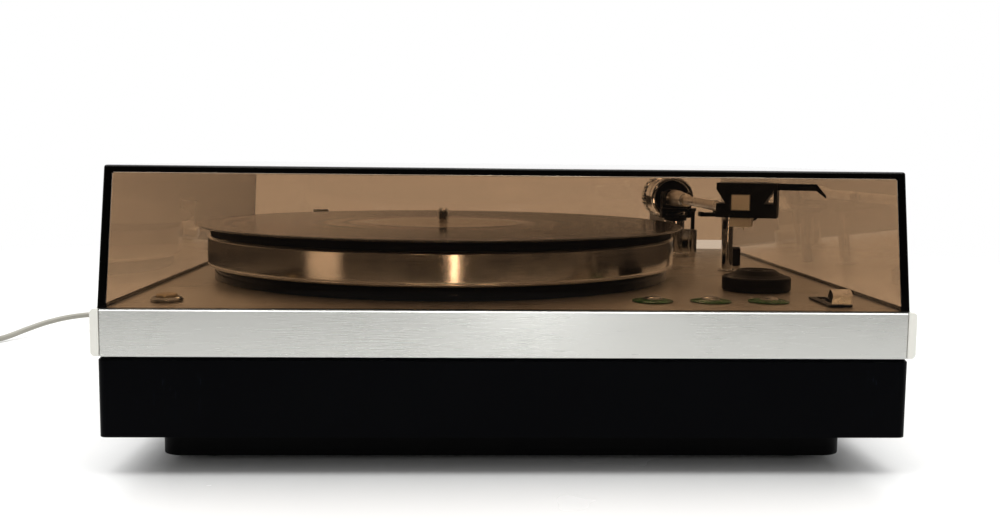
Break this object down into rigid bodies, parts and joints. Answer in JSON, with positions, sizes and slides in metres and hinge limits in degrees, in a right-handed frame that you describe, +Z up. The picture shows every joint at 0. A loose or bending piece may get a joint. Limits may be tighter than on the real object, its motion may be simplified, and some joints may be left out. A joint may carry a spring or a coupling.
{
  "type": "turntable",
  "caption": "Belt-drive record player with a straight arm that stops at the end of a side, under a hinged smoked dust cover; mains lead coiled up.",
  "frame": {"origin": "on the table under the middle of the body", "axes": "+X to the arm's side, +Y to the hinges, +Z up"},
  "size_m": [0.6835, 0.4411, 0.1503],
  "materials": {
    "plinth_black": "satin black moulded plastic",
    "tray_black": "plain black moulded plastic",
    "rubber_black": "dull black rubber",
    "deck_silver": "fine brushed silver",
    "trim_pale": "off-white plastic",
    "ring_gloss": "gloss black plastic",
    "zinc_plate": "zinc-plated steel sheet",
    "bearing_brass": "turned brass",
    "ball_steel": "polished bearing steel",
    "cover_smoke": "clear smoked acrylic",
    "platter_aluminium": "polished cast aluminium",
    "hub_black": "black moulded plastic",
    "mat_rubber": "ribbed black rubber",
    "vinyl": "grooved black vinyl with no label print",
    "chrome": "bright chrome",
    "arm_metal": "polished aluminium tube",
    "arm_black": "satin black plastic",
    "cream_plastic": "cream plastic",
    "lens_green": "green tinted plastic",
    "key_chrome": "bright chrome on plastic",
    "lever_silver": "satin silver",
    "board_green": "green laminate with soldered parts",
    "winding": "steel core with varnished copper winding",
    "lead_grey": "light grey flexible sheath"
  },
  "bodies": {
    "base": {"plinth_shell": "plinth_black", "bottom_tray": "tray_black", "foot_front_left": "rubber_black", "foot_front_right": "rubber_black", "foot_rear_left": "rubber_black", "foot_rear_right": "rubber_black", "deck_panel": "deck_silver", "side_strip_left": "trim_pale", "side_strip_right": "trim_pale", "platter_ring": "ring_gloss", "chassis_plate": "zinc_plate", "bearing_housing": "bearing_brass", "bearing_ball": "ball_steel", "motor_body": "zinc_plate", "drive_belt": "rubber_black", "transformer": "winding", "circuit_board": "board_green", "power_switch": "tray_black", "speed_33_ring": "lens_green", "speed_45_ring": "lens_green", "stop_ring": "lens_green", "power_bezel": "key_chrome", "cue_plate": "arm_black", "arm_column": "chrome", "arm_rest_post": "chrome", "arm_rest_cradle": "arm_black", "sensor_block": "tray_black", "hinge_bracket_left": "zinc_plate", "hinge_bracket_right": "zinc_plate", "strain_relief": "lead_grey", "signal_gland": "rubber_black", "mains_lead": "lead_grey", "lead_coil": "lead_grey", "mains_plug": "lead_grey"},
    "platter_group": {"spindle": "chrome", "sub_platter": "hub_black", "platter": "platter_aluminium", "platter_mat": "mat_rubber", "record_disc": "vinyl"},
    "rotor": {"motor_pulley": "bearing_brass"},
    "cover": {"dust_cover": "cover_smoke", "cover_ear_left": "zinc_plate", "cover_ear_right": "zinc_plate"},
    "arm_swivel": {"arm_yoke": "arm_black", "shutter_vane": "tray_black"},
    "arm": {"arm_tube": "arm_metal", "headshell": "arm_black", "cartridge": "cream_plastic", "stylus_holder": "cream_plastic", "balance_stub": "zinc_plate"},
    "balance": {"balance_sleeve": "arm_black"},
    "weight": {"counterweight": "chrome"},
    "cue": {"cue_lever": "lever_silver"},
    "lift": {"lift_bar": "arm_black"},
    "key_33": {"speed_33_key": "key_chrome"},
    "key_45": {"speed_45_key": "key_chrome"},
    "key_stop": {"stop_key": "key_chrome"},
    "power": {"power_button": "bearing_brass"},
    "skate": {"anti_skate_slider": "arm_black"},
    "adaptor": {"record_adaptor": "rubber_black"}
  },
  "joints": [
    {"name": "platter_spin", "type": "hinge", "parent": "base", "child": "platter_group", "pos_m": [-0.0349, -0.0154, 0.1], "axis": [0, 0, 1], "continuous": true},
    {"name": "pulley_spin", "type": "hinge", "parent": "base", "child": "rotor", "pos_m": [-0.11834, 0.06804, 0.09], "axis": [0, 0, 1], "continuous": true},
    {"name": "cover_hinge", "type": "hinge", "parent": "base", "child": "cover", "pos_m": [0, 0.177, 0.088], "axis": [-1, 0, 0], "range_deg": [0, 60]},
    {"name": "arm_swing", "type": "hinge", "parent": "base", "child": "arm_swivel", "pos_m": [0.1395, 0.1125, 0.1259], "axis": [0, 0, -1], "range_deg": [0, 37.5]},
    {"name": "arm_tilt", "type": "hinge", "parent": "arm_swivel", "child": "arm", "pos_m": [0.1395, 0.1125, 0.1259], "axis": [1, 0, 0], "range_deg": [-0.75, 0.74]},
    {"name": "balance_slide", "type": "slide", "parent": "arm", "child": "balance", "axis": [0, 1, 0], "range_m": [-0.002, 0.002]},
    {"name": "counterweight_turn", "type": "hinge", "parent": "balance", "child": "weight", "pos_m": [0.1395, 0.145, 0.1259], "axis": [0, 1, 0], "range_deg": [-360, 360]},
    {"name": "cue_lever_tilt", "type": "hinge", "parent": "base", "child": "cue", "pos_m": [0.1678, -0.1535, 0.062], "axis": [-1, 0, 0], "range_deg": [0, 60]},
    {"name": "lift_slide", "type": "slide", "parent": "base", "child": "lift", "axis": [0, 0, 1], "range_m": [-0.0045, 0]},
    {"name": "speed_33_press", "type": "slide", "parent": "base", "child": "key_33", "axis": [0, 0, -1], "range_m": [0, 0.0008], "stiffness_N_per_m": 1200, "springref_m": -0.0005},
    {"name": "speed_45_press", "type": "slide", "parent": "base", "child": "key_45", "axis": [0, 0, -1], "range_m": [0, 0.0008], "stiffness_N_per_m": 1200, "springref_m": -0.0005},
    {"name": "stop_press", "type": "slide", "parent": "base", "child": "key_stop", "axis": [0, 0, -1], "range_m": [0, 0.0008], "stiffness_N_per_m": 1200, "springref_m": -0.0005},
    {"name": "power_press", "type": "slide", "parent": "base", "child": "power", "axis": [0, 0, -1], "range_m": [0, 0.002], "stiffness_N_per_m": 600, "springref_m": -0.0015},
    {"name": "anti_skate_set", "type": "slide", "parent": "base", "child": "skate", "axis": [0, 1, 0], "range_m": [0, 0.012]},
    {"name": "adaptor_lift", "type": "slide", "parent": "base", "child": "adaptor", "axis": [0, 0, 1], "range_m": [0, 0.012]}
  ],
  "couplings": [
    {"joint": "pulley_spin", "follows": "platter_spin", "ratio": 13.571},
    {"joint": "balance_slide", "follows": "counterweight_turn", "m_per_rad": 0.000318},
    {"joint": "lift_slide", "follows": "cue_lever_tilt", "m_per_rad": -0.004296}
  ]
}
